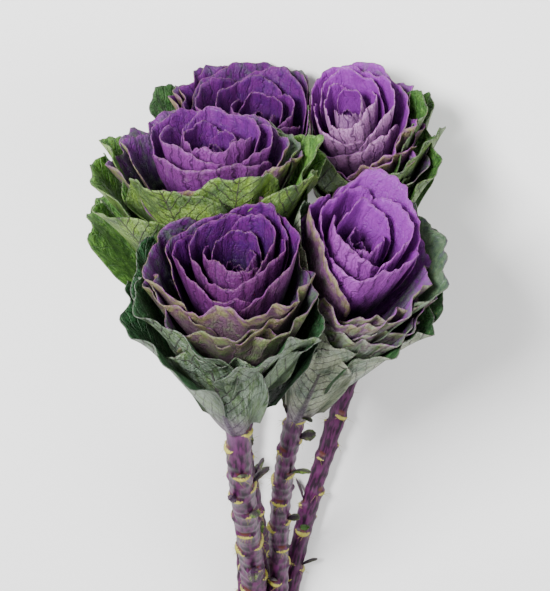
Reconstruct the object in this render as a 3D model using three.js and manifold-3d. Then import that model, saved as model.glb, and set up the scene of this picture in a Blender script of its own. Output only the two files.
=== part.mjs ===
// A bunch of five cut stems of purple flowering kale, lying on its side on a flat surface.
//
// Every stalk is one plant: a woody stem with the scars of its fallen leaves, a cup of green outer
// leaves round the top of the stem, and a rose of purple leaves inside that cup. The five heads
// press on each other and on the surface, and the stems run together towards their cut ends.
//
// Lengths are millimetres and angles degrees, with +Z up. The heads look towards -Y, and the
// origin lies under the middle of the bunch, on the surface.
import * as THREE from 'three';
import { mergeVertices } from 'three/addons/utils/BufferGeometryUtils.js';
import Module from 'manifold-3d';

const wasm = await Module();
wasm.setup();

// Driving dimensions

const BLADE = 0.9; // thickness of a leaf blade
const PRESSED_GAP = 1.2; // clear space on either side of the plane where two heads press
const NODE_GAP = 0.35; // clear space between a stem, its outer leaves and its rose
const GOLDEN_ANGLE = 137.508; // from each leaf or leaf scar to the next, round the stalk
const IN_BUD = 2; // innermost leaves of a rose, closed together as its bud
const ROOT_SPREAD = 0.3; // width of a leaf's foot as a share of its widest part
const CENTRE = { x: 6.6, y: 84.3 }; // middle of the bunch's footprint, moved to the origin

// The stalks. base is where the lowest outer leaf grows from the stem, and bud is the heart of the
// rose. rim is the radius of the rose and reach that of the outer leaves. tilt is how far a rim
// rises per millimetre towards the right and towards the back, as seen from above the heads. bowl
// is how far the rims stand above the heart, and drop is how far the last of them falls away.
// Outer leaves are [turn, half width, radius, height, flare, root], from the innermost to the
// outermost. A turn of 0 is the right, 90 the back, 180 the left and 270 the front, which is up.
const STALKS = [
  {
    name: 'front', base: [20.6, 39.9, 164.4], bud: [20.4, -58.9, 178.3],
    rim: 43, reach: 56, tilt: [0.15, 0.36], bowl: 9, drop: 8, leaves: 11, start: 189,
    stem: { radius: 6.6, bottomRadius: 7.6, meet: [13, 236, 25.5], fall: 8, tail: 20, start: 30 },
    outer: [
      [172, 46, 52, 92, 5, 12],
      [282, 42, 44, 78, 1, 11],
      [64, 50, 50, 78, 4, 9],
      [335, 48, 42, 78, 2, 8],
      [226, 56, 57, 82, 3, 6],
      [120, 55, 53, 76, 4, 5],
      [10, 50, 47, 72, 3, 3],
      [205, 48, 62, 68, 4, 2],
      [262, 52, 48, 58, 1, -1],
    ],
  },
  {
    name: 'right', base: [-16.1, 49.9, 122.8], bud: [-49.0, -61.6, 156.0],
    rim: 36, reach: 46, tilt: [0.0, 0.36], bowl: 8, drop: 1, leaves: 10, start: 44,
    stem: { radius: 5.4, bottomRadius: 6.0, meet: [-2.2, 238, 20], fall: 5, tail: 24, start: 80 },
    outer: [
      [22, 52, 45, 108, 5, 12],
      [165, 50, 42, 106, 0, 11],
      [248, 50, 41, 84, 0, 9],
      [90, 52, 44, 100, 5, 8],
      [326, 58, 45, 86, 2, 6],
      [200, 48, 44, 92, 1, 5],
      [50, 48, 46, 88, 4, 3],
      [264, 36, 36, 64, 0, -2],
    ],
  },
  {
    name: 'left', base: [32.1, -7.6, 102.9], bud: [33.8, -103.2, 116.4],
    rim: 43, reach: 60, tilt: [0.0, 0.1], bowl: 6, drop: 9, leaves: 11, start: 104,
    stem: { radius: 5.0, bottomRadius: 5.2, meet: [5.6, 240, 7.4], fall: 3, tail: 46, start: 10 },
    outer: [
      [160, 48, 53, 92, 5, 12],
      [288, 46, 50, 98, 3, 11],
      [90, 52, 52, 84, 4, 10],
      [352, 44, 52, 94, 2, 9],
      [248, 46, 55, 93, 3, 7],
      [40, 50, 54, 80, 4, 6],
      [315, 46, 57, 82, 4, 4],
      [196, 46, 65, 84, 6, 3],
      [222, 48, 68, 72, 3, 1],
      [168, 46, 70, 44, 8, -2],
    ],
  },
  {
    name: 'back', base: [15.0, -20.1, 31.9], bud: [7.5, -104.4, 50.0],
    rim: 38, reach: 48, tilt: [0.0, 0.2], bowl: 6, drop: 3, leaves: 10, start: 298,
    stem: { radius: 4.9, bottomRadius: 5.2, meet: [19, 242, 7.6], fall: 1, tail: 56, start: 60 },
    outer: [
      [100, 46, 44, 92, 3, 11],
      [288, 44, 53, 88, 2, 10],
      [165, 42, 55, 88, 5, 9],
      [30, 50, 44, 80, 4, 7],
      [240, 46, 54, 78, 3, 5],
      [335, 48, 46, 74, 3, 4],
      [112, 52, 51, 62, 4, 2],
      [195, 46, 54, 64, 5, 0],
    ],
  },
  {
    name: 'low', base: [-57.1, -22.3, 25.3], bud: [-39.9, -107.3, 54.3],
    rim: 32, reach: 44, tilt: [0.1, 0.42], bowl: 3, drop: 8, leaves: 10, start: 250,
    stem: { radius: 4.9, bottomRadius: 5.5, meet: [-9.4, 240, 6.6], fall: 1, tail: 52, start: 0 },
    outer: [
      [352, 48, 41, 92, 2, 12],
      [242, 46, 44, 78, 1, 10],
      [100, 50, 41, 84, 3, 9],
      [278, 52, 41, 76, 1, 7],
      [185, 48, 46, 80, 2, 6],
      [306, 48, 47, 72, 2, 4],
      [74, 52, 50, 58, 3, 2],
      [328, 42, 52, 58, 3, 0],
    ],
  },
];

// Helpers

const radians = THREE.MathUtils.degToRad;
const mix = THREE.MathUtils.lerp;

// Smooth step from 0 to 1 as x goes from 0 to 1.
function ease(x) {
  const c = THREE.MathUtils.clamp(x, 0, 1);
  return c * c * (3 - 2 * c);
}

// The same number between 0 and 1 for the same pair every time.
function chance(a, b) {
  const x = Math.sin(a * 12.9898 + b * 78.233) * 43758.5453;
  return x - Math.floor(x);
}

// A point of the cubic Bezier curve through four control values.
function bezier(p0, p1, p2, p3, s) {
  const q = 1 - s;
  return q * q * q * p0 + 3 * q * q * s * p1 + 3 * q * s * s * p2 + s * s * s * p3;
}

function solidOf(geometry) {
  geometry.deleteAttribute('normal');
  geometry.deleteAttribute('uv');
  const merged = mergeVertices(geometry, 1e-4);
  return new wasm.Manifold(new wasm.Mesh({
    numProp: 3,
    vertProperties: new Float32Array(merged.attributes.position.array),
    triVerts: new Uint32Array(merged.index.array),
  }));
}

function geometryOf(solid) {
  const mesh = solid.getMesh();
  const geometry = new THREE.BufferGeometry();
  geometry.setAttribute('position', new THREE.BufferAttribute(mesh.vertProperties, 3));
  geometry.setIndex(new THREE.BufferAttribute(mesh.triVerts, 1));
  geometry.computeVertexNormals();
  return geometry;
}

// A closed sheet between two grids of points, split the same way on both faces.
function sheetSolid(outside, inside) {
  const rows = outside.length;
  const columns = outside[0].length;
  const points = [];
  for (const grid of [outside, inside]) {
    for (const row of grid) for (const p of row) points.push(p.x, p.y, p.z);
  }
  const at = (face, j, i) => (face * rows + j) * columns + i;
  const triangles = [];
  for (let j = 0; j < rows - 1; j++) {
    for (let i = 0; i < columns - 1; i++) {
      const [a, b, c, d] = [[j, i], [j, i + 1], [j + 1, i + 1], [j + 1, i]];
      triangles.push(at(0, ...a), at(0, ...b), at(0, ...c), at(0, ...a), at(0, ...c), at(0, ...d));
      triangles.push(at(1, ...a), at(1, ...c), at(1, ...b), at(1, ...a), at(1, ...d), at(1, ...c));
    }
  }
  const rim = [];
  for (let i = 0; i < columns - 1; i++) rim.push([0, i]);
  for (let j = 0; j < rows - 1; j++) rim.push([j, columns - 1]);
  for (let i = columns - 1; i > 0; i--) rim.push([rows - 1, i]);
  for (let j = rows - 1; j > 0; j--) rim.push([j, 0]);
  rim.forEach((p, k) => {
    const q = rim[(k + 1) % rim.length];
    triangles.push(at(0, ...p), at(1, ...p), at(1, ...q), at(0, ...p), at(1, ...q), at(0, ...q));
  });
  const geometry = new THREE.BufferGeometry();
  geometry.setAttribute('position', new THREE.Float32BufferAttribute(points, 3));
  geometry.setIndex(triangles);
  return solidOf(geometry);
}

// Where a head stands, and what presses on it

// Local axes of a head: Z along its axis to the bud, X to the right and Y to the back.
function frameOf(stalk) {
  const base = new THREE.Vector3(...stalk.base);
  const bud = new THREE.Vector3(...stalk.bud);
  const axis = bud.clone().sub(base);
  const height = axis.length();
  axis.normalize();
  const right = new THREE.Vector3(-1, 0, 0).addScaledVector(axis, axis.x).normalize();
  const back = axis.clone().cross(right);
  return { base, height, matrix: new THREE.Matrix4().makeBasis(right, back, axis).setPosition(base) };
}

// The planes that a head stays behind, in its own axes: one for each neighbour, and the surface.
function pressesOn(stalk, frame) {
  const middle = (s) => new THREE.Vector3(...s.base).lerp(new THREE.Vector3(...s.bud), 0.72);
  const planes = STALKS.filter((other) => other !== stalk).map((other) => {
    const here = middle(stalk);
    const there = middle(other);
    const normal = there.clone().sub(here).normalize();
    const point = here.lerp(there, stalk.reach / (stalk.reach + other.reach));
    return new THREE.Plane(normal, -normal.dot(point) + PRESSED_GAP);
  });
  const surface = new THREE.Plane(new THREE.Vector3(0, 0, -1), BLADE / 2 - 0.15);
  const toLocal = frame.matrix.clone().invert();
  return { planes: planes.map((p) => p.applyMatrix4(toLocal)), surface: surface.applyMatrix4(toLocal) };
}

// A point of the head at radius r, turn and height h. The head is drawn in radially where its
// neighbours are near, and what would still cross a plane flattens against it.
function place(head, r, turn, h) {
  const direction = new THREE.Vector3(Math.cos(radians(turn)), Math.sin(radians(turn)), 0);
  const lean = THREE.MathUtils.clamp((h + 8) / (0.8 * head.height), 0.1, 1);
  const outline = (r + head.stalk.reach * lean) / 2;
  let drawn = 1;
  for (const plane of head.planes) {
    const towards = plane.normal.dot(direction);
    if (towards < 1e-3) continue;
    const room = -(plane.constant + plane.normal.z * h) / towards;
    drawn = Math.min(drawn, 1 / Math.pow(1 + Math.pow(outline / Math.max(room, 4), 5), 0.2));
  }
  const [rise, climb] = head.stalk.tilt;
  const p = direction.multiplyScalar(r * drawn);
  p.z = h * (1 + (rise * p.x + climb * p.y) / head.height);
  const press = (plane, soft) => {
    const past = plane.distanceToPoint(p) + soft;
    if (past > 0) p.addScaledVector(plane.normal, soft * (1 - Math.exp(-past / soft)) - past);
  };
  head.planes.forEach((plane) => press(plane, 4));
  press(head.surface, 1.5);
  return p;
}

// One leaf

// Radius and height along a leaf, from its foot at s = 0 to its tip at s = 1.
function profile(leaf, s) {
  const foot = 3;
  return [
    bezier(foot, mix(foot, leaf.radius, 0.38), leaf.radius * leaf.belly, leaf.radius + leaf.flare, s),
    bezier(leaf.root, mix(leaf.root, leaf.height, 0.16), mix(leaf.root, leaf.height, 0.62), leaf.height, s),
  ];
}

// A point of the middle of the blade. across goes from -1 to 1, and along from 0 to 1.
function bladePoint(head, leaf, across, along) {
  const margin = leaf.side + (1 - leaf.side) * Math.pow(1 - Math.pow(Math.abs(across), leaf.square), 1 / 2.2);
  const s = along * margin;
  const spread = ROOT_SPREAD + (1 - ROOT_SPREAD) * ease(s / 0.75);
  const turn = leaf.turn + leaf.twist * s + across * leaf.half * spread;
  const wave = radians(turn) * 4 + leaf.phase;
  const [r, h] = profile(leaf, s);
  return place(
    head,
    r + s * s * leaf.wave * Math.sin(wave) + leaf.cup * across * across * s * s,
    turn,
    h + s * s * leaf.wave * 0.7 * Math.cos(wave * 1.3),
  );
}

// A leaf as a closed sheet, thickened along the normals of its own facets so that it never folds
// through itself.
function leafSolid(head, leaf, columns, rows) {
  const middle = new THREE.PlaneGeometry(1, 1, columns, rows);
  const points = middle.attributes.position;
  for (let j = 0; j <= rows; j++) {
    for (let i = 0; i <= columns; i++) {
      const across = Math.sin(((i / columns) * 2 - 1) * Math.PI / 2 * 0.92) / Math.sin(Math.PI / 2 * 0.92);
      const p = bladePoint(head, leaf, across, j / rows);
      points.setXYZ(j * (columns + 1) + i, p.x, p.y, p.z);
    }
  }
  const corners = [];
  for (let j = 0; j < rows; j++) {
    for (let i = 0; i < columns; i++) {
      const a = j * (columns + 1) + i;
      const [b, c, d] = [a + 1, a + columns + 2, a + columns + 1];
      corners.push(a, b, c, a, c, d);
    }
  }
  middle.setIndex(corners);
  middle.computeVertexNormals();
  const [outside, inside] = [[], []];
  for (let j = 0; j <= rows; j++) {
    outside.push([]);
    inside.push([]);
    for (let i = 0; i <= columns; i++) {
      const k = j * (columns + 1) + i;
      const p = new THREE.Vector3().fromBufferAttribute(points, k);
      const normal = new THREE.Vector3().fromBufferAttribute(middle.attributes.normal, k);
      outside[j].push(p.clone().addScaledVector(normal, BLADE / 2));
      inside[j].push(p.clone().addScaledVector(normal, -BLADE / 2));
    }
  }
  return sheetSolid(outside, inside);
}

// A core of the head, as a stack of [radius, height] steps from the bottom to the top.
function coreSolid(steps) {
  const outline = [[0, steps[0][1]], ...steps, [0, steps.at(-1)[1]]];
  const lathe = new THREE.LatheGeometry(outline.map(([r, h]) => new THREE.Vector2(r, h)), 8);
  return solidOf(lathe.rotateX(Math.PI / 2));
}

// The two sets of leaves of a head

// Leaves of the rose round its bud, from the inside out. Each stands outside the one before it.
function roseLeaves(head) {
  const { stalk, height } = head;
  return Array.from({ length: stalk.leaves - IN_BUD }, (_, k) => {
    const i = k + IN_BUD;
    const q = i / (stalk.leaves - 1);
    const vary = (n) => chance(i + 7 * n, stalk.start) - 0.5;
    return {
      turn: stalk.start + GOLDEN_ANGLE * i,
      half: mix(100, 76, q) + 10 * vary(1),
      radius: mix(4.5, stalk.rim, Math.pow(q, 0.95)),
      height: height + stalk.bowl * ease(q / 0.6) - stalk.drop * q * q * q + 3 * vary(2),
      root: height * mix(0.62, 0.27, q),
      belly: mix(1.2, 0.92, q),
      flare: mix(-2.5, 2.5, q),
      side: mix(0.5, 0.35, q),
      square: mix(2.6, 3.8, q),
      cup: -1.5 * q,
      wave: 2.2 * q,
      phase: 2.4 * q,
      twist: 8 * vary(3),
    };
  });
}

// Outer leaves. The height given is that of the finished tip, so the tilt is taken back out of it.
function outerLeaves(head) {
  const [rise, climb] = head.stalk.tilt;
  return head.stalk.outer.map(([turn, half, radius, tip, flare, root], i) => ({
    turn, half, radius, flare, root,
    height: tip / (1 + (rise * radius * Math.cos(radians(turn)) + climb * radius * Math.sin(radians(turn)))
      / head.height),
    belly: 0.86,
    side: 0.3,
    square: 2.4,
    cup: 0,
    wave: 2.2,
    phase: 2.4 + 0.35 * i,
    twist: 8 * (chance(i, head.stalk.start) - 0.5),
  }));
}

function leafCluster(head, core, leaves, grid) {
  let cluster = coreSolid(core);
  leaves.forEach((leaf, i) => {
    cluster = cluster.add(leafSolid(head, leaf, ...grid(i)));
  });
  // Only the outermost surface is kept, which fills the pockets between crossing leaves.
  return cluster.simplify(0.02).decompose().sort((a, b) => b.volume() - a.volume())[0];
}

// The stem

// The middle line of a stem, from the foot of the head to the cut end.
function stemPath(stalk, frame) {
  const { meet, fall, tail, radius } = stalk.stem;
  const axis = new THREE.Vector3().setFromMatrixColumn(frame.matrix, 2);
  const top = frame.base.clone().addScaledVector(axis, -radius);
  const end = new THREE.Vector3(...meet);
  const pull = top.distanceTo(end) * 0.25;
  const run = new THREE.Vector3(0.04 * (end.x - top.x) / pull, Math.cos(radians(fall)), -Math.sin(radians(fall)));
  const bend = new THREE.CubicBezierCurve3(
    top, top.clone().addScaledVector(axis, -pull), end.clone().addScaledVector(run, -pull), end,
  );
  const path = new THREE.CurvePath();
  path.add(bend);
  path.add(new THREE.LineCurve3(end, end.clone().addScaledVector(run, tail)));
  return path;
}

// A round stem that swells under every leaf scar, with the scar as a ledge on one side.
function stemSolid(stalk, frame) {
  const { radius, bottomRadius, start } = stalk.stem;
  const path = stemPath(stalk, frame);
  const length = path.getLength();
  const sides = 8;
  const [internode, ledge, ledgeDepth] = [17, 1.6, 1.6];
  const rings = [{ s: 0, swell: 0, turn: 0 }];
  for (let k = 0; internode * (k + 0.6) < length - 6; k++) {
    const s = internode * (k + 0.6);
    const turn = start + GOLDEN_ANGLE * k;
    rings.push({ s, swell: 0, turn }, { s: s + ledgeDepth, swell: ledge, turn });
  }
  rings.push({ s: length, swell: 0, turn: 0 });
  const points = [];
  let across = new THREE.Vector3(-1, 0, 0);
  for (const { s, swell, turn } of rings) {
    const middle = path.getPointAt(s / length);
    const along = path.getTangentAt(s / length);
    across = across.addScaledVector(along, -across.dot(along)).normalize();
    const other = along.clone().cross(across);
    for (let i = 0; i < sides; i++) {
      const angle = (i / sides) * 360;
      const away = Math.cos(radians(angle - turn));
      const r = mix(radius, bottomRadius, s / length) + swell * ease((away - 0.2) / 0.6);
      points.push(middle.clone()
        .addScaledVector(across, r * Math.cos(radians(angle)))
        .addScaledVector(other, r * Math.sin(radians(angle))));
    }
  }
  const ends = [path.getPointAt(0), path.getPointAt(1)];
  const triangles = [];
  for (let k = 0; k < rings.length - 1; k++) {
    for (let i = 0; i < sides; i++) {
      const [a, b] = [k * sides + i, k * sides + (i + 1) % sides];
      triangles.push(a, b, b + sides, a, b + sides, a + sides);
    }
  }
  const last = (rings.length - 1) * sides;
  for (let i = 0; i < sides; i++) {
    const next = (i + 1) % sides;
    triangles.push(points.length, next, i, points.length + 1, last + i, last + next);
  }
  const geometry = new THREE.BufferGeometry().setFromPoints([...points, ...ends]);
  geometry.setIndex(triangles);
  return solidOf(geometry);
}

// The bunch

const stemSkin = () => new THREE.MeshStandardMaterial({ color: 0x4a2352, roughness: 0.5 });
const greenLeaf = () => new THREE.MeshStandardMaterial({ color: 0x7f9a6a, roughness: 0.6 });
const purpleLeaf = () => new THREE.MeshStandardMaterial({ color: 0x8a3fa4, roughness: 0.55 });

// Trims a solid at the surface that the bunch lies on. toWorld places the solid.
function trimmedAtSurface(solid, toWorld) {
  const block = new THREE.BoxGeometry(900, 900, 40);
  block.translate(0, 0, -20).applyMatrix4(toWorld.clone().invert());
  return solid.subtract(solidOf(block));
}

function namedMesh(name, solid, material) {
  const mesh = new THREE.Mesh(geometryOf(solid), material);
  mesh.name = name;
  return mesh;
}

const bunch = new THREE.Group();
for (const stalk of STALKS) {
  const frame = frameOf(stalk);
  const head = { stalk, height: frame.height, ...pressesOn(stalk, frame) };
  const top = stalk.stem.radius;

  const outer = leafCluster(
    head,
    [[top, -top + NODE_GAP], [top + 0.6, 4], [top + 0.4, 20]],
    outerLeaves(head),
    () => [5, 3],
  );
  const tall = frame.height;
  const rose = leafCluster(
    head,
    [[top, 20 + NODE_GAP], [top, 26], [4.8, 0.6 * tall], [6, 0.78 * tall], [3.6, 0.92 * tall]],
    roseLeaves(head),
    () => [7, 2],
  );
  const stem = trimmedAtSurface(stemSolid(stalk, frame), new THREE.Matrix4());

  const place = new THREE.Group();
  frame.matrix.decompose(place.position, place.quaternion, place.scale);
  place.add(namedMesh(`${stalk.name}_outer_leaves`, trimmedAtSurface(outer, frame.matrix), greenLeaf()));
  place.add(namedMesh(`${stalk.name}_rose`, rose, purpleLeaf()));
  bunch.add(place, namedMesh(`${stalk.name}_stem`, stem, stemSkin()));
}
bunch.position.set(-CENTRE.x, -CENTRE.y, 0);

export default bunch;
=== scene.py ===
# A cut bunch of purple flowering kale, lying on a pale studio floor with its heads towards -Y.
import math
from functools import partial

import bpy
import numpy as np
from mathutils import Matrix, Vector


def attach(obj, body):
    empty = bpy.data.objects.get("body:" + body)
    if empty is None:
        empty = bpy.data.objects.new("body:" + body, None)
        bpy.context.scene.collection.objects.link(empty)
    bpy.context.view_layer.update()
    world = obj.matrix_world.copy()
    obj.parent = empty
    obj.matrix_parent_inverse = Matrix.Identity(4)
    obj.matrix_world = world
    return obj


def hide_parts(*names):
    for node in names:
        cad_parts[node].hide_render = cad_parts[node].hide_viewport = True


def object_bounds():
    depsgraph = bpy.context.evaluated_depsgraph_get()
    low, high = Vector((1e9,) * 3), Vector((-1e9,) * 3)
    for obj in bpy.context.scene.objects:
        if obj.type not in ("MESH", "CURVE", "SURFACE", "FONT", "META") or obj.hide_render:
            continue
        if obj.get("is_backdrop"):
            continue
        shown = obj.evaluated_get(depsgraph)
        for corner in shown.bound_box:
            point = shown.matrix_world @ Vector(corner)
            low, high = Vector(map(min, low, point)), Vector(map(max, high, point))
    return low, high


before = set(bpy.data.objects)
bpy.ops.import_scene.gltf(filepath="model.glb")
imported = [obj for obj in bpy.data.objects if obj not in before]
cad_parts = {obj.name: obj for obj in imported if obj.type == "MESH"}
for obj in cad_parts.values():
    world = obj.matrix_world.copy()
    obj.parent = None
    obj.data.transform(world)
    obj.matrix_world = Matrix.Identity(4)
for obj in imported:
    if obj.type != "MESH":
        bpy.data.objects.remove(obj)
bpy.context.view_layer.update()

# Stems
# The woody stems are smooth purple bark with a grey bloom. Each picked leaf left a ledge with a
# pale yellow-green crescent and a reddish hollow above it, about every 11 mm down a spiral.
CENTRE = np.array([6.6, 84.3, 0.0])
GOLDEN_ANGLE = 137.508
INTERNODE = 11.0
LEDGE = 1.5
STEM_SIDES = 40
STEM_STEP = 1.0
IN_HEAD = 18.0
PITH_SHARE = 0.8
LIFT = 0.02
# Sizes are in millimetres, before the bunch is centred on the origin. base is the foot of a head
# and bud the heart of its rose. meet is where the stems cross, and start turns the first scar.
STALKS = [
    {"name": "front", "seed": 1, "base": (20.6, 39.9, 164.4), "bud": (20.4, -58.9, 178.3),
     "radius": 6.6, "low_radius": 7.6, "meet": (13, 236, 25.5), "fall": 8, "tail": 20,
     "start": 30, "bloom": 0.5},
    {"name": "right", "seed": 2, "base": (-16.1, 49.9, 122.8), "bud": (-49.0, -61.6, 156.0),
     "radius": 5.4, "low_radius": 6.0, "meet": (-2.2, 238, 20), "fall": 5, "tail": 24,
     "start": 80, "bloom": 0.5},
    {"name": "left", "seed": 3, "base": (32.1, -7.6, 102.9), "bud": (33.8, -103.2, 116.4),
     "radius": 5.0, "low_radius": 5.2, "meet": (5.6, 240, 7.4), "fall": 3, "tail": 46,
     "start": 10, "bloom": 0.3},
    {"name": "back", "seed": 4, "base": (15.0, -20.1, 31.9), "bud": (7.5, -104.4, 50.0),
     "radius": 4.9, "low_radius": 5.2, "meet": (19, 242, 7.6), "fall": 1, "tail": 56,
     "start": 60, "bloom": 0.2},
    {"name": "low", "seed": 5, "base": (-57.1, -22.3, 25.3), "bud": (-39.9, -107.3, 54.3),
     "radius": 4.9, "low_radius": 5.5, "meet": (-9.4, 240, 6.6), "fall": 1, "tail": 52,
     "start": 0, "bloom": 0.2},
]


def unit(v):
    return v / np.linalg.norm(v)


def ease(x):
    """A smooth step from 0 to 1."""
    c = np.clip(x, 0, 1)
    return c * c * (3 - 2 * c)


def mix(a, b, q):
    return a + (b - a) * q


def bezier(a, b, c, d, s):
    q = 1 - s
    return q ** 3 * a + 3 * q * q * s * b + 3 * q * s * s * c + s ** 3 * d


def axes_of(stalk):
    """The foot of a head, its height, and its axes: right, back and up the head, as rows."""
    base = np.array(stalk["base"], float)
    axis = np.array(stalk["bud"], float) - base
    height = np.linalg.norm(axis)
    axis = axis / height
    right = unit(np.array([-1.0, 0, 0]) + axis * axis[0])
    return base, height, np.stack([right, np.cross(axis, right), axis])


def stem_line(stalk):
    """Points along the middle of a stem, about half a millimetre apart, from the head down."""
    base, _, (_, _, axis) = axes_of(stalk)
    top = base - axis * stalk["radius"]
    end = np.array(stalk["meet"], float)
    pull = np.linalg.norm(top - end) * 0.25
    fall = math.radians(stalk["fall"])
    run = np.array([0.04 * (end[0] - top[0]) / pull, math.cos(fall), -math.sin(fall)])
    t = np.linspace(0, 1, 600)[:, None]
    bend = bezier(top, top - axis * pull, end - run * pull, end, t)
    tail = end + run * stalk["tail"] * np.linspace(0, 1, 80)[1:, None]
    inside = top + axis * IN_HEAD * np.linspace(1, 0, 40)[:-1, None]
    return np.vstack([inside, bend, tail])


def mesh_object(name, verts, faces, attributes, material):
    """A smooth mesh from points in millimetres. attributes are named triples for each point."""
    mesh = bpy.data.meshes.new(name)
    mesh.from_pydata(((verts - CENTRE) / 1000).tolist(), [], faces)
    for key, values in attributes.items():
        layer = mesh.attributes.new(key, "FLOAT_VECTOR", "POINT")
        layer.data.foreach_set("vector", np.ascontiguousarray(values, np.float32).ravel())
    mesh.polygons.foreach_set("use_smooth", [True] * len(mesh.polygons))
    mesh.materials.append(material)
    piece = bpy.data.objects.new(name, mesh)
    bpy.context.collection.objects.link(piece)
    return piece


def colour(code):
    """An sRGB hex code as linear red, green, blue and alpha."""
    parts = [int(code[i:i + 2], 16) / 255 for i in (1, 3, 5)]
    return [c / 12.92 if c <= 0.04045 else ((c + 0.055) / 1.055) ** 2.4 for c in parts] + [1.0]


def add(tree, kind, *values, out=0, **named):
    """Adds a node and gives one of its open outputs. values go to its open inputs in their order,
    and named ones to an input or a setting. Each is a number, a hex colour or an output to link."""
    node = tree.nodes.new("ShaderNode" + kind)
    pairs = []
    for key, value in named.items():
        if key in node.inputs:
            pairs.append((node.inputs[key], value))
        else:
            setattr(node, key, value)
    opened = [socket for socket in node.inputs if socket.enabled]
    for socket, value in [*zip(opened, values), *pairs]:
        if isinstance(value, bpy.types.NodeSocket):
            tree.links.new(value, socket)
        elif isinstance(value, str):
            socket.default_value = colour(value)
        else:
            socket.default_value = value
    return [socket for socket in node.outputs if socket.enabled][out]


def blank_material(name):
    """A new material, with its tree of nodes and its shader."""
    material = bpy.data.materials.new(name)
    material.use_nodes = True
    return material, material.node_tree, material.node_tree.nodes["Principled BSDF"]


def bark_material():
    """Waxy bark: dark wine streaks down the stem, a grey bloom that dulls them and ragged scars."""
    material, tree, bark = blank_material("waxy_purple_bark")
    node = partial(add, tree)
    smooth = {"interpolation_type": "SMOOTHSTEP"}
    tinted = {"data_type": "RGBA"}
    at = node("Attribute", attribute_name="stem_at", out=1)
    round_mm, along_mm, _ = node("SeparateXYZ", at).node.outputs
    marks = node("Attribute", attribute_name="stem_scar", out=1)
    scar, hollow, pale = node("SeparateXYZ", marks).node.outputs
    # Streaks are 2 mm wide and drawn out along the stem, the cloud is 8 mm and the grain 0.5 mm.
    place = node("CombineXYZ", round_mm, node("Math", along_mm, 0.22, operation="MULTIPLY"))
    streaks = node("TexNoise", place, 0.5, 4.0)
    cloud = node("TexNoise", place, 0.12, 2.0)
    fine = node("TexNoise", place, 2.2, 2.0)
    skin = node("Mix", node("MapRange", streaks, 0.38, 0.62, **smooth), "#1A0519", "#4E1A46", **tinted)
    bloom = node("MapRange", node("Math", cloud, pale, operation="ADD"), 0.6, 1.3, 0.0, 0.7, **smooth)
    skin = node("Mix", bloom, skin, "#6C4A6C", **tinted)
    skin = node("Mix", node("MapRange", hollow, 0.2, 0.8, **smooth), skin, "#4E2420", **tinted)
    yellow = node("Mix", fine, "#6C6A1E", "#B8B052", **tinted)
    ragged = node("Math", fine, 0.9, scar, operation="MULTIPLY_ADD")
    skin = node("Mix", node("MapRange", ragged, 0.8, 1.1, **smooth), skin, yellow, **tinted)
    tree.links.new(skin, bark.inputs["Base Color"])
    bark.inputs["Roughness"].default_value = 0.5
    bark.inputs["IOR"].default_value = 1.45
    bark.inputs["Specular IOR Level"].default_value = 0.35
    grooves = node("Math", streaks, 0.6, operation="MULTIPLY")
    relief = node("Math", fine, 0.25, grooves, operation="MULTIPLY_ADD")
    bump = node("Bump", Height=relief, Distance=0.0006, Strength=0.7)
    tree.links.new(bump, bark.inputs["Normal"])
    return material


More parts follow.
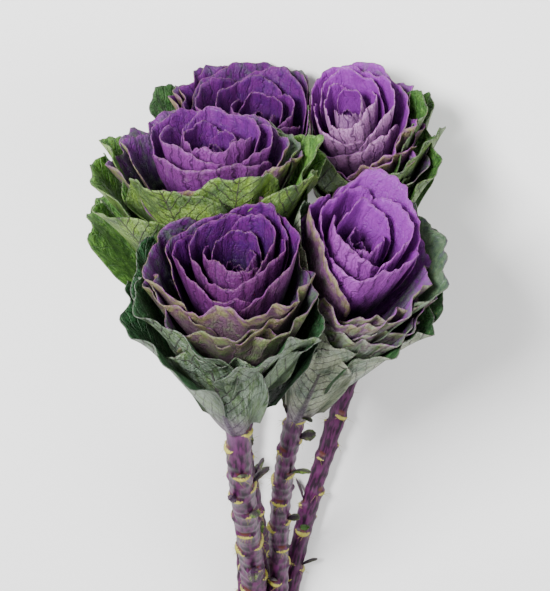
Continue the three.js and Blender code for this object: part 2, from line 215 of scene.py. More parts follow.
def stem_mesh(stalk):
    """A stem as points, faces and attributes, and its scars as places with their directions."""
    line = stem_line(stalk)
    reach = np.concatenate([[0], np.cumsum(np.linalg.norm(np.diff(line, axis=0), axis=1))])
    reach = reach - IN_HEAD
    length = reach[-1]
    s = np.linspace(-IN_HEAD, length, int((length + IN_HEAD) / STEM_STEP) + 1)
    middle = np.stack([np.interp(s, reach, line[:, k]) for k in range(3)], 1)
    along = np.gradient(middle, axis=0)
    along /= np.linalg.norm(along, axis=1)[:, None]
    across = np.empty_like(along)
    hand = np.array([-1.0, 0, 0])
    for j, direction in enumerate(along):
        hand = unit(hand - direction * (hand @ direction))
        across[j] = hand
    other = np.cross(along, across)
    angle = np.linspace(0, 2 * math.pi, STEM_SIDES, endpoint=False)
    S, A = np.meshgrid(s, angle, indexing="ij")
    radius = mix(stalk["radius"], stalk["low_radius"], S / length)
    radius = radius * mix(0.45, 1.0, ease(S / IN_HEAD + 1))
    radius = radius + 0.14 * np.sin(5 * A + S * 0.03) + 0.12 * np.sin(3 * A - S * 0.05)
    scar = np.zeros_like(S)
    hollow = np.zeros_like(S)
    spots = []
    luck = np.random.default_rng(stalk["seed"] + 60)
    count = 0
    while INTERNODE * (count + 0.6) < length - 6:
        # A scar is a ledge that falls away below, a crescent on its lip and a pit above it.
        spot = INTERNODE * (count + 0.6) + luck.uniform(-2.5, 2.5)
        turn = math.radians(stalk["start"] + GOLDEN_ANGLE * count)
        away = np.angle(np.exp(1j * (A - turn)))
        side = ease((np.cos(away) - 0.45) / 0.45)
        horn = 2.2 * (away / math.radians(60)) ** 2
        skew = luck.uniform(-1.2, 1.2)
        size = luck.uniform(0.55, 1.15)
        down = S - spot + horn + skew * away
        bump = np.where(down < 0, np.exp(-(down / 0.5) ** 2), np.exp(-down / 7.0))
        radius = radius + LEDGE * side * bump * (down > -3)
        wide = np.clip(1 - (away / math.radians(size * 48)) ** 2, 0, 1)
        shape = np.exp(-((down - 0.4) / (0.25 + 1.1 * size * wide)) ** 2) * (wide > 0.02)
        scar = np.maximum(scar, shape * mix(0.75, 1.0, size))
        pit = np.exp(-((down + 2.6) / 1.9) ** 2 - (away / math.radians(34)) ** 2)
        hollow = np.maximum(hollow, pit)
        radius = radius - 0.7 * pit
        radius = radius + 0.5 * np.exp(-((S - spot) / 2.5) ** 2)
        j = int(np.searchsorted(s, spot))
        out = across[j] * math.cos(turn) + other[j] * math.sin(turn)
        lip = middle[j] + out * (stalk["radius"] + LEDGE * 0.8)
        spots.append((lip, out, along[j], spot))
        count += 1
    pale = mix(stalk["bloom"], 0.12, ease(S / 34)) * np.ones_like(A)
    verts = (middle[:, None] + across[:, None] * (radius * np.cos(A))[..., None]
             + other[:, None] * (radius * np.sin(A))[..., None]).reshape(-1, 3)
    verts[:, 2] = np.maximum(verts[:, 2], LIFT)
    rows, columns = S.shape
    grid = np.arange(rows * columns).reshape(rows, columns)
    turned = np.roll(grid, -1, axis=1)
    faces = np.stack([grid[:-1], turned[:-1], turned[1:], grid[1:]], -1).reshape(-1, 4).tolist()
    stem_at = np.stack([A * 6.0, S, radius], -1).reshape(-1, 3)
    stem_scar = np.stack([scar, hollow, pale], -1).reshape(-1, 3)
    # The cut ends are closed with a slightly sunken pith of one more ring and a middle point.
    for end, sign in ((0, 1), (-1, -1)):
        ring, centre = grid[end], middle[end]
        first = len(verts)
        inner = centre + (verts[ring] - centre) * PITH_SHARE
        verts = np.vstack([verts, inner, centre + along[end] * 0.5 * sign])
        inner_ring = np.arange(first, first + columns)
        following = np.roll(inner_ring, -1)
        point = np.full(columns, first + columns)
        flat = np.stack([ring, inner_ring, following, np.roll(ring, -1)], -1)
        fan = np.stack([inner_ring, point, following], -1)
        faces += flat[:, ::sign].tolist() + fan[:, ::sign].tolist()
        stem_at = np.vstack([stem_at, stem_at[ring], stem_at[ring[:1]]])
        stem_scar = np.vstack([stem_scar, np.tile([0.45, 0.0, 1.0], (columns + 1, 1))])
    return verts, faces, {"stem_at": stem_at, "stem_scar": stem_scar}, spots


bark = bark_material()
scars = {}
for stalk in STALKS:
    node_name = stalk["name"] + "_stem"
    verts, faces, attributes, scars[stalk["name"]] = stem_mesh(stalk)
    piece = mesh_object("bark_" + node_name, verts, faces, attributes, bark)
    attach(piece, "root")
    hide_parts(node_name)

# Outer leaves
# Thick waxy green leaves with purple ribs grow round the top of every stem and cup the rose. They
# are pressed flat where two heads meet and where the bunch lies on the floor.
PRESSED_GAP = -2.2
BLADE = 0.9
HALF_BLADE = 0.26
ROOT_SPREAD = 0.3
OUTER_GRID = (72, 22)
# reach is how far a head fills out and tilt how much it rises to its right and back. Each leaf has
# its turn and half its width in degrees, then the radius, height, flare and root in millimetres.
CUPS = {
    "front": {
        "reach": 54, "tilt": (0.15, 0.46), "lime": 0.1, "frost": 0.0,
        "leaves": [
            (172, 46, 48, 92, 4, 12),
            (290, 42, 50, 70, 8, 9),
            (64, 50, 50, 78, 4, 9),
            (335, 48, 46, 72, 2, 8),
            (222, 56, 53, 84, 4, 6),
            (120, 55, 53, 76, 4, 5),
            (10, 50, 47, 72, 3, 3),
            (204, 58, 54, 72, 5, 2),
            (250, 48, 42, 60, 2, -1),
        ],
    },
    "right": {
        "reach": 46, "tilt": (0.0, 0.4), "lime": 0.2, "frost": 0.7,
        "leaves": [
            (22, 52, 45, 108, 5, 12),
            (172, 50, 41, 121, -1, 11),
            (252, 48, 44, 82, 1, 9),
            (90, 52, 44, 100, 5, 8),
            (326, 58, 45, 86, 2, 6),
            (206, 46, 44, 104, 0, 5),
            (50, 48, 46, 88, 4, 3),
            (264, 36, 36, 64, 0, -2),
        ],
    },
    "left": {
        "reach": 60, "tilt": (0.0, 0.1), "lime": 0.95, "frost": 0.0,
        "leaves": [
            (174, 54, 54, 90, 2, 12),
            (286, 42, 51, 99, 5, 11),
            (90, 52, 52, 84, 4, 10),
            (352, 44, 52, 94, 2, 9),
            (244, 44, 56, 95, 5, 7),
            (22, 54, 56, 84, 4, 6),
            (320, 44, 56, 90, 5, 4),
            (196, 48, 61, 86, 4, 3),
            (222, 48, 64, 74, 3, 1),
            (168, 46, 66, 46, 6, -2),
        ],
    },
    "back": {
        "reach": 54, "tilt": (0.0, 0.15), "lime": 0.3, "frost": 0.0,
        "leaves": [
            (100, 46, 44, 80, 3, 11),
            (288, 44, 53, 88, 2, 10),
            (168, 42, 53, 78, 5, 9),
            (30, 50, 44, 80, 4, 7),
            (240, 46, 54, 78, 3, 5),
            (335, 48, 46, 74, 3, 4),
            (112, 52, 51, 62, 4, 2),
            (195, 46, 54, 64, 5, 0),
        ],
    },
    "low": {
        "reach": 42, "tilt": (0.1, 0.34), "lime": 0.6, "frost": 0.0,
        "leaves": [
            (350, 48, 41, 84, -1, 12),
            (240, 48, 48, 80, 4, 10),
            (100, 50, 39, 74, 2, 9),
            (278, 52, 43, 56, 0, 5),
            (196, 54, 48, 86, 1, 6),
            (312, 50, 45, 70, -1, 5),
            (20, 48, 47, 72, -1, 4),
            (334, 46, 49, 60, 0, 1),
        ],
    },
}


def presses_on(stalk, base, turn):
    """The planes a head stays behind, as normals and constants in its own axes, and the floor."""
    def middle(s):
        return mix(np.array(s["base"], float), np.array(s["bud"], float), 0.72)

    reach = CUPS[stalk["name"]]["reach"]
    planes = []
    for other in STALKS:
        if other is stalk:
            continue
        here, there = middle(stalk), middle(other)
        normal = unit(there - here)
        point = mix(here, there, reach / (reach + CUPS[other["name"]]["reach"]))
        planes.append((turn @ normal, normal @ (base - point) + PRESSED_GAP))
    down = np.array([0, 0, -1.0])
    return planes, (turn @ down, down @ base + BLADE / 2 - 0.15)


def placed(head, r, turn, h, full):
    """Points of a head at radius r, turn in degrees and height h, pressed by what is near."""
    x, y = np.cos(np.radians(turn)), np.sin(np.radians(turn))
    lean = np.clip((h + 8) / (0.8 * head["height"]), 0.1, 1)
    outline = mix((r + head["reach"] * lean) / 2, r * 1.03, full)
    firm = mix(5, 9, full)
    drawn = np.ones_like(r)
    for normal, constant in head["planes"]:
        towards = normal[0] * x + normal[1] * y
        room = -(constant + normal[2] * h) / np.where(towards < 1e-3, 1, towards)
        share = 1 / (1 + (outline / np.maximum(room, 4)) ** firm) ** (1 / firm)
        drawn = np.where(towards < 1e-3, drawn, np.minimum(drawn, share))
    rise, climb = head["tilt"]
    p = np.stack([x * r * drawn, y * r * drawn, h], -1)
    p[..., 2] = h * (1 + (rise * p[..., 0] + climb * p[..., 1]) / head["height"])
    presses = [(plane, 4.0) for plane in head["planes"]] + [(head["floor"], 1.5)]
    for (normal, constant), soft in presses:
        past = p @ normal + constant + soft
        move = np.where(past > 0, soft * (1 - np.exp(-np.maximum(past, 0) / soft)) - past, 0)
        p = p + normal * move[..., None]
    return p


def upright(head, turn, radius, tip):
    """The height that brings a leaf's tip to tip once the head's tilt has moved it."""
    rise, climb = head["tilt"]
    angle = math.radians(turn)
    across = rise * radius * math.cos(angle) + climb * radius * math.sin(angle)
    return tip / (1 + across / head["height"])


def facing(p):
    """Unit normals of a grid of points."""
    normal = np.cross(np.gradient(p, axis=1), np.gradient(p, axis=0))
    return normal / np.maximum(np.linalg.norm(normal, axis=2, keepdims=True), 1e-9)


def sheet_faces(rows, columns):
    """Quads of a sheet with two faces of rows by columns points, closed round its rim."""
    count = rows * columns
    grid = np.arange(count).reshape(rows, columns)
    front = np.stack([grid[:-1, :-1], grid[:-1, 1:], grid[1:, 1:], grid[1:, :-1]], -1).reshape(-1, 4)
    rim = np.concatenate([grid[0, :-1], grid[:-1, -1], grid[-1, :0:-1], grid[:0:-1, 0]])
    onwards = np.roll(rim, -1)
    around = np.stack([rim, rim + count, onwards + count, onwards], -1)
    return np.concatenate([front, front[:, ::-1] + count, around])


def joined(parts):
    """Several meshes, each as points, faces and attributes, put together as one."""
    starts = np.cumsum([0] + [len(part[0]) for part in parts])
    verts = np.concatenate([part[0] for part in parts])
    faces = np.concatenate([part[1] + start for part, start in zip(parts, starts)])
    attributes = {key: np.concatenate([part[2][key] for part in parts]) for key in parts[0][2]}
    return verts, faces.tolist(), attributes


def leaf_sheet(head, leaf, columns, rows, chance):
    """One leaf as points, quads and attributes. Its two faces are half a millimetre apart."""
    side, square, folds = leaf["side"], leaf["square"], leaf["folds"]
    low, high, foot, radius = leaf["root"], leaf["height"], leaf["foot"], leaf["radius"]
    to_margin = math.pi / 2 * 0.92
    t = np.sin(np.linspace(-1, 1, columns + 1) * to_margin) / math.sin(to_margin)
    v = 1 - (1 - np.linspace(0, 1, rows + 1)) ** 1.25
    V, T = np.meshgrid(v, t, indexing="ij")
    margin = side + (1 - side) * (1 - np.abs(T) ** square) ** (1 / 2.2)
    size = high - low + radius * 0.5
    teeth = np.convolve(chance.uniform(-1, 1, columns + 3), [0.25, 0.75, 0.25], "valid")
    s = V * margin * (1 + leaf["teeth"] / size * V ** 10 * teeth[None, :])
    spread = leaf["hold"] + (1 - leaf["hold"]) * ease(s / 0.75)
    turn = leaf["turn"] + leaf["twist"] * s + T * leaf["half"] * spread
    r = bezier(foot, mix(foot, radius, 0.38), radius * leaf["belly"], radius + leaf["flare"], s)
    h = bezier(low, mix(low, high, 0.16), mix(low, high, 0.62), high, s)
    wave = np.radians(turn) * 4 + leaf["phase"]
    r = r + s * s * leaf["wave"] * np.sin(wave) + leaf["cup"] * T * T * s * s
    h = h + s * s * leaf["wave"] * 0.7 * np.cos(wave * 1.3)
    # The margin is ruffled, the blade sinks over its ribs and every leaf is a little uneven.
    a, b, c, d = chance.uniform(0, 6.28, 4)
    fold = np.radians(turn) * folds
    ruffle = leaf["ruffle"] * V ** 5 * (np.sin(fold + a) + 0.5 * np.sin(fold * 2.3 + b))
    r = r + leaf["roll"] * V ** 7 + ruffle + 0.35 * s * np.sin(T * 6 + c) * np.sin(s * 7 + d)
    h = h + 0.8 * leaf["ruffle"] * V ** 5 * np.sin(fold * 0.7 + d)
    rib = np.exp(-(T * leaf["half"] / 6) ** 2) * (1 - 0.7 * s)
    r = r - 0.5 * rib * s * (1 - s) * 4 * leaf["rib"]
    p = placed(head, r, turn, h, leaf["full"])
    sideways = np.linalg.norm(np.diff(p, axis=1), axis=2)
    x = np.concatenate([np.zeros((rows + 1, 1)), np.cumsum(sideways, axis=1)], 1)
    x = x - x[:, columns // 2:columns // 2 + 1]
    upwards = np.linalg.norm(np.diff(p, axis=0), axis=2)
    y = np.concatenate([np.zeros((1, columns + 1)), np.cumsum(upwards, axis=0)], 0)
    edge = np.minimum(y[-1:] - y, (1 - np.abs(T)) * np.abs(x[:, -1:]) + (1 - V) * 20)
    # The midrib stands out of the back of the leaf, most of all near its foot.
    midrib = leaf["rib"] * 1.1 * np.exp(-(x / 1.8) ** 2) * np.clip(1 - s * 1.15, 0, 1)
    normal = facing(p)
    outside = p + normal * (HALF_BLADE + 0.12 * (1 - V) + midrib)[..., None]
    inside = p - normal * HALF_BLADE
    verts = np.concatenate([outside.reshape(-1, 3), inside.reshape(-1, 3)])
    ones = np.ones(V.size)
    leaf_at = np.stack([x.ravel(), y.ravel(), edge.ravel()], -1)
    number = chance.uniform(0, 1)
    look = [np.stack([ones * face, ones * leaf["rank"], ones * number], -1) for face in (0, 1)]
    tone = np.stack([ones * leaf["green"], ones * leaf["lime"], ones * leaf["bloom"]], -1)
    return verts, sheet_faces(rows + 1, columns + 1), {
        "leaf_at": np.concatenate([leaf_at, leaf_at]),
        "leaf_look": np.concatenate(look),
        "leaf_tone": np.concatenate([tone, tone]),
    }


def cluster_piece(name, head, leaves, grid, chance, material):
    """All leaves of one set as one object, in the bunch's axes."""
    verts, faces, attributes = joined([leaf_sheet(head, leaf, *grid, chance) for leaf in leaves])
    return mesh_object(name, head["base"] + verts @ head["turn"], faces, attributes, material)


def leaf_material(name):
    """Waxy kale leaf, matt with fine dark ribs. green, lime and bloom say how much of each shows."""
    material, tree, leaf = blank_material(name)
    node = partial(add, tree)
    smooth = {"interpolation_type": "SMOOTHSTEP"}
    tinted = {"data_type": "RGBA"}
    times = {"operation": "MULTIPLY"}
    plus = {"operation": "ADD"}
    times_plus = {"operation": "MULTIPLY_ADD"}
    larger = {"operation": "MAXIMUM"}
    at = node("Attribute", attribute_name="leaf_at", out=1)
    x, y, edge = node("SeparateXYZ", at).node.outputs
    look = node("Attribute", attribute_name="leaf_look", out=1)
    inside, rank, number = node("SeparateXYZ", look).node.outputs
    tone = node("Attribute", attribute_name="leaf_tone", out=1)
    green, lime, bloom = node("SeparateXYZ", tone).node.outputs
    # Clouds of colour are 17 mm across, patches 5 mm and the grain of the wax about 1 mm.
    where = node("CombineXYZ", x, y, node("Math", number, 200, **times))
    cloud = node("TexNoise", where, 0.06, 2.0)
    patch = node("TexNoise", where, 0.2, 3.0)
    grain = node("TexNoise", where, 0.9, 3.0)

    # Ribs on green leaves: a tapering midrib and side ribs every 8 mm that leave it upwards.
    width = node("Math", x, operation="ABSOLUTE")
    uneven = node("Math", patch, 5.0, -2.5, **times_plus)
    from_mid = node("Math", width, node("Math", width, 0.009, -1.25, **times_plus), y, **times_plus)
    stripes = node("Math", node("Math", from_mid, uneven, **plus), 4.0, operation="PINGPONG")
    side_rib = node("Math", node("MapRange", stripes, 0.1, 0.75, 1.0, 0.0, **smooth),
                    node("MapRange", width, 0, 40, 1.0, 0.35, **smooth), **times)
    share_of_mid = node("Math", width, node("MapRange", y, 0, 75, 2.2, 0.35, **smooth),
                        operation="DIVIDE")
    mid_rib = node("MapRange", share_of_mid, 0.5, 1.3, 1.0, 0.0, **smooth)
    green_ribs = node("Math", node("Math", mid_rib, side_rib, **larger),
                      node("MapRange", rank, 1.2, 1.8, 0.0, 1.0, **smooth), **times)
    # Veins on purple leaves: they fan out from the foot, with finer twigs between them.
    fan_at = node("Math", node("Math", x, node("Math", y, 0.02, 0.6, **times_plus), operation="DIVIDE"),
                  uneven, **plus)
    fan = node("MapRange", node("Math", node("Math", fan_at, 1.6, **plus), 2.4, operation="PINGPONG"),
               0.1, 0.6, 1.0, 0.0, **smooth)
    twigs = node("Math", node("Math", fan_at, 2.3, 2.2, **times_plus), 1.7, operation="PINGPONG")
    fan = node("Math", fan, node("MapRange", twigs, 0.05, 0.6, 0.5, 0.0, **smooth), **larger)
    ribs = node("Math", green_ribs,
                node("Math", fan, node("MapRange", rank, 1.2, 1.8, 0.95, 0.0, **smooth), **times),
                **larger)
    # A net of cells about 2 mm wide lies between the ribs of both.
    cells = node("TexVoronoi", where, 0.42, feature="DISTANCE_TO_EDGE")
    net = node("MapRange", cells, 0.02, 0.12, 1.0, 0.0, **smooth)
    veins = node("Math", ribs, node("Math", net, 0.25, **times), **larger)

    # The purple face: vivid higher up and mauve on the backs, with painted shade that makes it nearly
    # black deep inside the rose.
    near_margin = node("MapRange", edge, 0.0, 24.0, 1.0, 0.0, **smooth)
    # Painted shade: the leaves turn nearly black far from the margin, deep in the rose where the leaves
    # around them shade them.
    painted_light_near_margin = node("MapRange", edge, 8.0, 36.0, 1.0, 0.0, **smooth)
    # Painted shade: the innermost leaves are darkened where the heart of the rose lies in shade.
    painted_heart_shade = node("MapRange", rank, 0.0, 0.45, 0.65, 0.0, **smooth)
    most = node("Math", bloom, 1.0, operation="MINIMUM")
    inner = node("Mix", near_margin, "#24033A", "#5A1666", **tinted)
    inner = node("Mix", node("MapRange", patch, 0.35, 0.7, 0.0, 0.7, **smooth), inner, "#3A0A56",
                 **tinted)
    inner = node("Mix", node("Math", veins, 0.6, **times), inner, "#1C0430", **tinted)
    inner = node("Mix", node("Math", node("Math", most, most, **times), 0.5, **times), inner, "#A43CBC",
                 **tinted)
    # Painted shade on the face, nearly black far from the margin.
    inner = node("Mix", painted_light_near_margin, "#08010E", inner, **tinted)
    # Painted shade on the face of the innermost leaves.
    inner = node("Mix", painted_heart_shade, inner, "#200334", **tinted)
    outer = node("Mix", near_margin, "#300C3C", "#562056", **tinted)
    outer = node("Mix", node("MapRange", patch, 0.35, 0.75, 0.0, 0.6, **smooth), outer, "#602866",
                 **tinted)
    outer = node("Mix", node("Math", most, 0.6, **times), outer, "#A048B0", **tinted)
    outer = node("Mix", node("MapRange", bloom, 1.0, 1.6, 0.0, 0.75, **smooth), outer, "#B084AA",
                 **tinted)
    outer = node("Mix", node("Math", veins, 0.75, **times), outer, "#2C0834", **tinted)
    # Painted shade on the back, darker far from the margin.
    outer = node("Mix", painted_light_near_margin, "#1C0424", outer, **tinted)
    # Painted shade on the back of the innermost leaves.
    outer = node("Mix", painted_heart_shade, outer, "#3A0E4E", **tinted)
    # Leaves at the edge of a rose are duller, and weathered cream towards the margin.
    worn = node("Math", node("MapRange", rank, 0.9, 1.0, 0.0, 1.0, **smooth),
                node("MapRange", rank, 1.2, 1.8, 1.0, 0.0, **smooth), **times)
    outer = node("Mix", node("Math", worn, 0.7, **times), outer, "#64485A", **tinted)
    fringe = node("Math", node("MapRange", edge, 2.0, 13.0, 0.85, 0.0, **smooth), worn, **times)
    outer = node("Mix",
                 node("Math", fringe, node("MapRange", patch, 0.35, 0.6, 0.0, 1.0, **smooth), **times),
                 outer, "#85794E", **tinted)
    purple = node("Mix", inside, outer, inner, **tinted)

    # The green back: sage or lime patches, a grey bloom and a purple foot and ribs.
    wrinkle = node("TexNoise", node("CombineXYZ", x, node("Math", from_mid, 0.25, **times), number),
                   0.35, 3.0)
    cloudy = node("MapRange", cloud, 0.3, 0.7, 0.0, 1.0, **smooth)
    sage = node("Mix", cloudy, "#2B4024", "#61784E", **tinted)
    limed = node("Mix", cloudy, "#436218", "#7C9C3C", **tinted)
    back = node("Mix",
                node("Math", lime, node("MapRange", cloud, 0.3, 0.6, 0.6, 1.0, **smooth), **times),
                sage, limed, **tinted)
    back = node("Mix",
                node("Math", most, node("MapRange", wrinkle, 0.3, 0.65, 0.0, 0.8, **smooth), **times),
                back, "#849284", **tinted)
    frost = node("Math", node("MapRange", bloom, 1.0, 1.6, 0.0, 0.8, **smooth),
                 node("MapRange", cloud, 0.3, 0.6, 0.0, 1.0, **smooth), **times)
    back = node("Mix", frost, back, "#A2A690", **tinted)
    back = node("Mix", node("MapRange", y, 4, 30, 0.7, 0.0, **smooth), back, "#684268", **tinted)
    rib_tint = node("Mix", node("MapRange", y, 10, 60, 0.0, 1.0, **smooth), "#381440", "#4A3446",
                    **tinted)
    back = node("Mix", node("Math", ribs, 0.75, **times), back, rib_tint, **tinted)
    back = node("Mix", node("Math", net, 0.2, **times), back, "#243A1C", **tinted)
    # The green face is darker, and greyish on the leaves of a rose that turn green.
    patchy = node("MapRange", patch, 0.3, 0.7, 0.0, 1.0, **smooth)
    face = node("Mix", patchy, "#102A1C", "#224A30", **tinted)
    face = node("Mix", node("Math", lime, 0.8, **times), face,
                node("Mix", patchy, "#3A6620", "#6A983A", **tinted), **tinted)
    face = node("Mix", node("MapRange", rank, 1.2, 1.8, 0.85, 0.0, **smooth), face,
                node("Mix", patchy, "#33463A", "#56654E", **tinted), **tinted)
    face = node("Mix", node("Math", veins, 0.45, **times), face, "#52704C", **tinted)
    leafy = node("Mix", inside, back, face, **tinted)

    # Some leaves are both: green comes in from the tip in blotches.
    greening = node("Math", uneven, 0.14,
                    node("Math", green, node("MapRange", y, 20, 70, -0.12, 0.12, **smooth), **plus),
                    **times_plus)
    share = node("MapRange", greening, 0.25, 0.8, 0.0, 1.0, **smooth)
    skin = node("Mix", share, purple, leafy, **tinted)
    pale_rim = node("Math", node("MapRange", edge, 0.1, 0.8, 1.0, 0.0, **smooth),
                    node("MapRange", grain, 0.3, 0.7, 0.0, 0.5, **smooth), **times)
    purple_rim = node("Mix", node("MapRange", patch, 0.4, 0.6, 0.0, 1.0, **smooth), "#8E4C8C",
                      "#6C5C48", **tinted)
    skin = node("Mix", pale_rim, skin, node("Mix", share, purple_rim, "#5A3A56", **tinted), **tinted)
    skin = node("Mix", node("MapRange", grain, 0.3, 0.7, 0.0, 0.22, **smooth), skin, "#3A2A40",
                blend_type="SOFT_LIGHT", **tinted)
    tree.links.new(skin, leaf.inputs["Base Color"])
    tree.links.new(node("MapRange", grain, 0.3, 0.7, 0.42, 0.58, **smooth), leaf.inputs["Roughness"])
    leaf.inputs["IOR"].default_value = 1.45
    leaf.inputs["Subsurface Weight"].default_value = 0.08
    leaf.inputs["Subsurface Radius"].default_value = (1.0, 0.5, 0.6)
    leaf.inputs["Subsurface Scale"].default_value = 0.0012
    leaf.inputs["Specular IOR Level"].default_value = 0.3
    # Ribs stand out of the back and sink into the face, and the net and patches pucker both.
    rise = node("Math", net, -0.25,
                node("Math", ribs, node("MapRange", inside, 0, 1, 1.0, -0.8, **smooth), **times),
                **times_plus)
    rise = node("Math", wrinkle, 1.2, node("Math", patch, 1.6, rise, **times_plus), **times_plus)
    relief = node("Math", rise, node("MapRange", rank, 1.2, 1.8, 0.32, 1.0, **smooth), **times)
    bump = node("Bump", Height=relief, Distance=0.0014, Strength=1.0)
    tree.links.new(bump, leaf.inputs["Normal"])
    return material


green_leaf = leaf_material("waxy_green_kale_leaf")
heads = {}
for stalk in STALKS:
    name = stalk["name"]
    cup = CUPS[name]
    base, height, turned = axes_of(stalk)
    planes, floor = presses_on(stalk, base, turned)
    head = {"base": base, "height": height, "turn": turned, "planes": planes, "floor": floor,
            "reach": cup["reach"], "tilt": cup["tilt"]}
    heads[name] = head
    chance = np.random.default_rng(stalk["seed"])
    leaves = []
    for i, (turn, half, radius, tip, flare, root) in enumerate(cup["leaves"]):
        spin = math.sin(i * 12.9898 + stalk["seed"] * 78.233) * 43758.5453
        odd = spin - math.floor(spin)
        low = i / (len(cup["leaves"]) - 1)
        leaves.append({
            "turn": turn, "half": half, "radius": radius, "flare": flare,
            "root": root - 11 * low * low, "height": upright(head, turn, radius, tip),
            "foot": mix(4, stalk["radius"] + 1.0, ease(low / 0.7)),
            "hold": mix(ROOT_SPREAD, 0.9, low), "full": 0.8,
            "belly": 0.86, "side": 0.3, "square": 2.4, "cup": 1.0 * low,
            "wave": 2.2, "phase": 2.4 + 0.35 * i, "twist": 8 * (odd - 0.5),
            "teeth": 1.6, "ruffle": 3.0, "roll": 3.0 + 2.0 * low, "folds": 7 + 5 * odd,
            "rib": 1.0, "rank": 2.0, "green": 1.2, "lime": cup["lime"],
            "bloom": 1.0 - 0.8 * cup["lime"] + cup["frost"],
        })
    piece = cluster_piece("leaves_" + name + "_outer", head, leaves, OUTER_GRID, chance, green_leaf)
    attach(piece, "root")
    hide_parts(name + "_outer_leaves")

# Fibres and leaflets on the stems
# Torn fibres hang from the scars where leaves were pulled off, and small leaflets have sprouted
# above some scars, mostly near the head.
FIBRE = 0.16
FIBRE_RINGS = 9
HALF_LEAFLET = 0.22
NEAR_HEAD = 70


def fibre(start, out, along, luck):
    """A thin curled strand as a three-sided tube, with stem attributes."""
    length = luck.uniform(2.5, 7.0)
    side = np.cross(out, along)
    spread, upwards = out * luck.uniform(0.5, 1.0), side * luck.uniform(-0.9, 0.9)
    heading = unit(spread + upwards + along * luck.uniform(-0.2, 0.9))
    curl = side * luck.uniform(-1, 1) + along * luck.uniform(-0.8, 1.0)
    f = np.linspace(0, 1, FIBRE_RINGS)[:, None]
    line = start + heading * length * f + curl * length * 0.35 * f * f
    a = np.arange(3) * 2 * math.pi / 3
    ring = side[None, :] * np.cos(a)[:, None] + along[None, :] * np.sin(a)[:, None]
    verts = (line[:, None] + ring[None] * (FIBRE * (1.1 - f))[:, None]).reshape(-1, 3)
    grid = np.arange(FIBRE_RINGS * 3).reshape(FIBRE_RINGS, 3)
    turned = np.roll(grid, -1, axis=1)
    faces = np.stack([grid[:-1], grid[1:], turned[1:], turned[:-1]], -1).reshape(-1, 4)
    return verts, faces, {
        "stem_at": verts,
        "stem_scar": np.tile([0.9, 0.0, 0.3], (len(verts), 1)),
    }


def leaflet(start, out, along, luck):
    """A small cupped leaf that points away from the stem and up it."""
    length, width = luck.uniform(9, 17), luck.uniform(2.2, 3.8)
    side = np.cross(along, out)
    v, u = np.meshgrid(np.linspace(0, 1, 11), np.linspace(-1, 1, 15), indexing="ij")
    half = width * np.sin(math.pi * np.clip(v * 0.9 + 0.07, 0, 1) ** 1.4) ** 0.9 + 0.4
    half = half * (1 + 0.12 * luck.uniform(-1, 1, v.shape) * (np.abs(u) > 0.9))
    lean = luck.uniform(0.45, 0.9)
    rise = length * (v * (1 - 0.3 * lean * v))
    reach = length * lean * v ** 1.6 - 0.8 + 0.35 * half * u * u
    tilt = luck.uniform(-0.5, 0.5)
    p = (start - along[None, None] * rise[..., None] + out[None, None] * reach[..., None]
         + side[None, None] * (half * u + tilt * rise)[..., None])
    normal = facing(p) * HALF_LEAFLET
    verts = np.concatenate([(p + normal).reshape(-1, 3), (p - normal).reshape(-1, 3)])
    leaf_at = np.stack([half * u, v * length * 3, (1 - np.abs(u)) * half + 0.4], -1).reshape(-1, 3)
    look = [np.tile([face, 2.0, luck.uniform()], (v.size, 1)) for face in (0, 1)]
    return verts, sheet_faces(*v.shape), {
        "leaf_at": np.concatenate([leaf_at, leaf_at]),
        "leaf_look": np.concatenate(look),
        "leaf_tone": np.tile([luck.uniform(0.5, 1.2), 0.8, 0.1], (2 * v.size, 1)),
    }


for stalk in STALKS:
    luck = np.random.default_rng(stalk["seed"] + 80)
    strands, sprouts = [], []
    for point, out, along, spot in scars[stalk["name"]]:
        side = np.cross(out, along)
        for _ in range(luck.integers(3, 8)):
            spread = luck.uniform(-0.9, 0.9)
            inwards = out * (2.4 * spread ** 2)
            root = point + side * spread * 4.5 - inwards + along * luck.uniform(-0.8, 0.6)
            strands.append(fibre(root, unit(out + side * spread * 0.8), along, luck))
        if spot < NEAR_HEAD and luck.uniform() < 0.75 or luck.uniform() < 0.12:
            sprouts.append(leaflet(point - along * 2.0 - out * 0.8, out, along, luck))
    verts, faces, attributes = joined(strands)
    verts[:, 2] = np.maximum(verts[:, 2], 0.1)
    piece = mesh_object("fibres_" + stalk["name"], verts, faces, attributes, bark)
    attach(piece, "root")
    if sprouts:
        verts, faces, attributes = joined(sprouts)
        verts[:, 2] = np.maximum(verts[:, 2], 0.1)
        piece = mesh_object("leaflets_" + stalk["name"], verts, faces, attributes, green_leaf)
        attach(piece, "root")

# Roses
# The upper leaves of each plant are purple and close into a rose. Their backs are mauve, their
# rims finely toothed, and the outermost rows are weathered and turn green towards the margin.
ROSE_GRID = (72, 14)
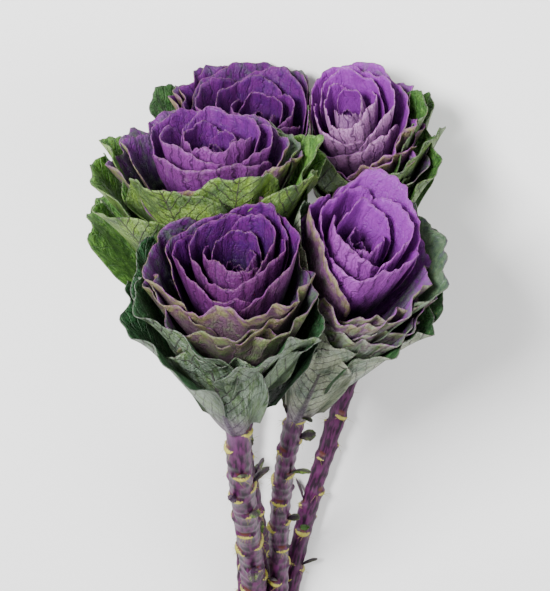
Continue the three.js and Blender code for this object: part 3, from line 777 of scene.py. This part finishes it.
# rim is the rose's radius, and bowl, drop and sink raise or lower its leaves in the middle of it, at
# its rim and in its heart. A row of leaves has its turn and half its width in degrees, its radius,
# height, flare and root in millimetres, and how green it is.
ROSES = {
    "front": {
        "rim": 34, "bowl": 9, "drop": 5, "sink": 14, "full": 0.1, "vivid": 0.0,
        "count": 13, "last": 189 + 10 * GOLDEN_ANGLE,
        "rows": [
            (192, 66, 43, 98, 3, 26, 0.30),
            (110, 66, 38, 106, 2, 26, 0.35),
            (20, 62, 39, 102, 2, 24, 0.40),
            (250, 80, 43, 86, 3, 22, 0.30),
            (304, 74, 42, 82, 3, 19, 0.35),
            (232, 74, 47, 80, 4, 17, 0.40),
            (290, 74, 45, 74, 3, 14, 0.45),
        ],
    },
    "right": {
        "rim": 32, "bowl": 6, "drop": 2, "sink": 12, "full": 0.1, "vivid": 0.95,
        "count": 11, "last": 44 + 9 * GOLDEN_ANGLE,
        "rows": [
            (64, 66, 40, 122, 1, 30, 0.30),
            (2, 70, 43, 113, 4, 26, 0.70),
            (134, 60, 36, 116, 1, 28, 0.35),
            (318, 62, 40, 103, 2, 24, 0.40),
            (292, 64, 41, 96, 2, 21, 0.35),
            (322, 62, 42, 90, 2, 18, 0.45),
            (288, 62, 43, 83, 2, 15, 0.50),
        ],
    },
    "left": {
        "rim": 37, "bowl": 6, "drop": 8, "sink": 7, "full": 0.1, "vivid": 0.45,
        "count": 12, "last": 104 + 10 * GOLDEN_ANGLE,
        "rows": [
            (182, 50, 51, 88, 4, 24, 0.35),
            (140, 56, 44, 94, 3, 22, 0.30),
            (24, 56, 44, 92, 3, 22, 0.60),
            (262, 56, 45, 84, 2, 20, 0.10),
            (322, 50, 44, 90, 2, 18, 0.30),
        ],
    },
    "back": {
        "rim": 40, "bowl": 2, "drop": 3, "sink": 8, "full": 0.7, "vivid": 0.25,
        "count": 12, "last": 298 + 9 * GOLDEN_ANGLE,
        "rows": [
            (184, 60, 46, 86, 4, 24, 0.10),
            (150, 56, 44, 88, 3, 22, 0.20),
            (205, 56, 44, 84, 3, 20, 0.15),
            (90, 66, 41, 88, 2, 20, 0.35),
            (350, 58, 46, 84, 4, 18, 0.25),
        ],
    },
    "low": {
        "rim": 32, "bowl": 1, "drop": 8, "sink": 8, "full": 0.3, "vivid": 1.5,
        "count": 12, "last": 250 + 9 * GOLDEN_ANGLE,
        "rows": [
            (40, 66, 34, 84, 2, 26, 0.40),
            (300, 72, 37, 73, 3, 24, 0.15),
            (270, 74, 38, 68, 3, 21, 0.20),
            (312, 70, 39, 63, 3, 18, 0.35),
            (282, 70, 40, 57, 3, 15, 0.45),
            (306, 66, 41, 51, 3, 12, 0.55),
        ],
    },
}
purple_leaf = leaf_material("waxy_purple_kale_leaf")
for stalk in STALKS:
    name = stalk["name"]
    rose, lime = ROSES[name], CUPS[name]["lime"]
    head = heads[name]
    chance = np.random.default_rng(stalk["seed"] + 20)
    leaves = []
    for i in range(rose["count"]):
        q = i / (rose["count"] - 1)
        half = mix(96, 74, q) + chance.uniform(-6, 6)
        height = head["height"] + rose["bowl"] * ease(q / 0.6) - rose["drop"] * q ** 3
        height = height - rose["sink"] * (1 - ease(q / 0.45)) + chance.uniform(-2, 2)
        leaves.append({
            "turn": rose["last"] - GOLDEN_ANGLE * (rose["count"] - 1 - i),
            "half": half, "height": height, "radius": mix(4.5, rose["rim"], q ** 0.95),
            "foot": 3, "hold": ROOT_SPREAD, "full": rose["full"] * q,
            "root": head["height"] * mix(0.62, 0.27, q),
            "belly": mix(1.3, 0.94, q), "flare": mix(-5.0, 2.5, ease(q / 0.8)),
            "side": mix(0.78, 0.66, q), "square": mix(2.6, 3.6, q), "cup": -1.2 * q,
            "wave": 2.2 * q, "phase": 2.4 * q, "twist": chance.uniform(-8, 8),
            "teeth": 1.0, "ruffle": mix(0.25, 0.9, q), "folds": mix(5, 11, q),
            "rib": 0.5 * q, "roll": q, "rank": q, "green": 0.3 * ease((q - 0.72) / 0.4),
            "lime": lime, "bloom": rose["vivid"],
        })
    for i, (turn, half, radius, tip, flare, root, green) in enumerate(rose["rows"]):
        leaves.append({
            "turn": turn, "half": half, "radius": radius, "flare": flare, "root": root,
            "height": upright(head, turn, radius, tip), "foot": 3, "hold": ROOT_SPREAD,
            "full": rose["full"] * 1.5, "belly": 0.9, "side": 0.55, "square": 3.6, "cup": -1.0,
            "wave": 2.4, "phase": 1.9 * i, "twist": chance.uniform(-4, 4),
            "teeth": 1.5, "ruffle": 2.4, "folds": chance.uniform(8, 12), "rib": 0.7, "roll": 1.5,
            "rank": 1.0, "green": green, "lime": lime, "bloom": rose["vivid"],
        })
    piece = cluster_piece("leaves_" + name + "_rose", head, leaves, ROSE_GRID, chance, purple_leaf)
    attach(piece, "root")
    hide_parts(name + "_rose")

# Floor and light
# A plain white studio floor, with a large soft box over the heads and a weaker one beside them.
bpy.ops.mesh.primitive_plane_add(size=8, location=(0, 0, 0))
studio = bpy.context.object
studio.name = "studio_floor"
paint, _, matt = blank_material("matt_white_studio_floor")
matt.inputs["Base Color"].default_value = colour("#F4F4F4")
matt.inputs["Roughness"].default_value = 0.9
studio.data.materials.append(paint)
studio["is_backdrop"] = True

world = bpy.data.worlds.new("studio_air")
world.use_nodes = True
air = world.node_tree.nodes["Background"]
air.inputs["Color"].default_value = colour("#FFFFFF")
air.inputs["Strength"].default_value = 0.7
bpy.context.scene.world = world


def soft_box(name, place, size, power):
    """A square lamp at place that looks at the origin."""
    lamp = bpy.data.lights.new(name, "AREA")
    lamp.size = size
    lamp.energy = power
    box = bpy.data.objects.new(name, lamp)
    bpy.context.collection.objects.link(box)
    box.location = place
    box.rotation_euler = (-Vector(place)).to_track_quat("-Z", "Y").to_euler()


soft_box("key_soft_box", (0.8, -0.9, 1.6), 0.6, 95)
soft_box("fill_soft_box", (-1.2, 0.1, 1.1), 1.2, 20)

# Camera
# It looks down on the bunch at 70 degrees from the heads' side, 1.4 m away, so that the stems run
# down the picture as in the photograph.
DISTANCE = 1.4
PICTURE_HEIGHT = 591 * 0.58 / 1000
ELEVATION = math.radians(70)
LOOKS_AT = (0, 0, 0.088)
towards = Vector((0, -math.cos(ELEVATION), math.sin(ELEVATION)))
picture_up = Vector((0, -math.sin(ELEVATION), -math.cos(ELEVATION)))
picture_right = Vector((-1, 0, 0))
lens = bpy.data.cameras.new("camera")
lens.sensor_fit = "AUTO"
lens.sensor_width = 36
lens.lens = lens.sensor_width * DISTANCE / PICTURE_HEIGHT
camera = bpy.data.objects.new("camera", lens)
bpy.context.collection.objects.link(camera)
turned = Matrix((picture_right, picture_up, towards)).transposed().to_4x4()
turned.translation = Vector(LOOKS_AT) - Vector(CENTRE / 1000) + towards * DISTANCE
camera.matrix_world = turned
bpy.context.scene.camera = camera

low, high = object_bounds()
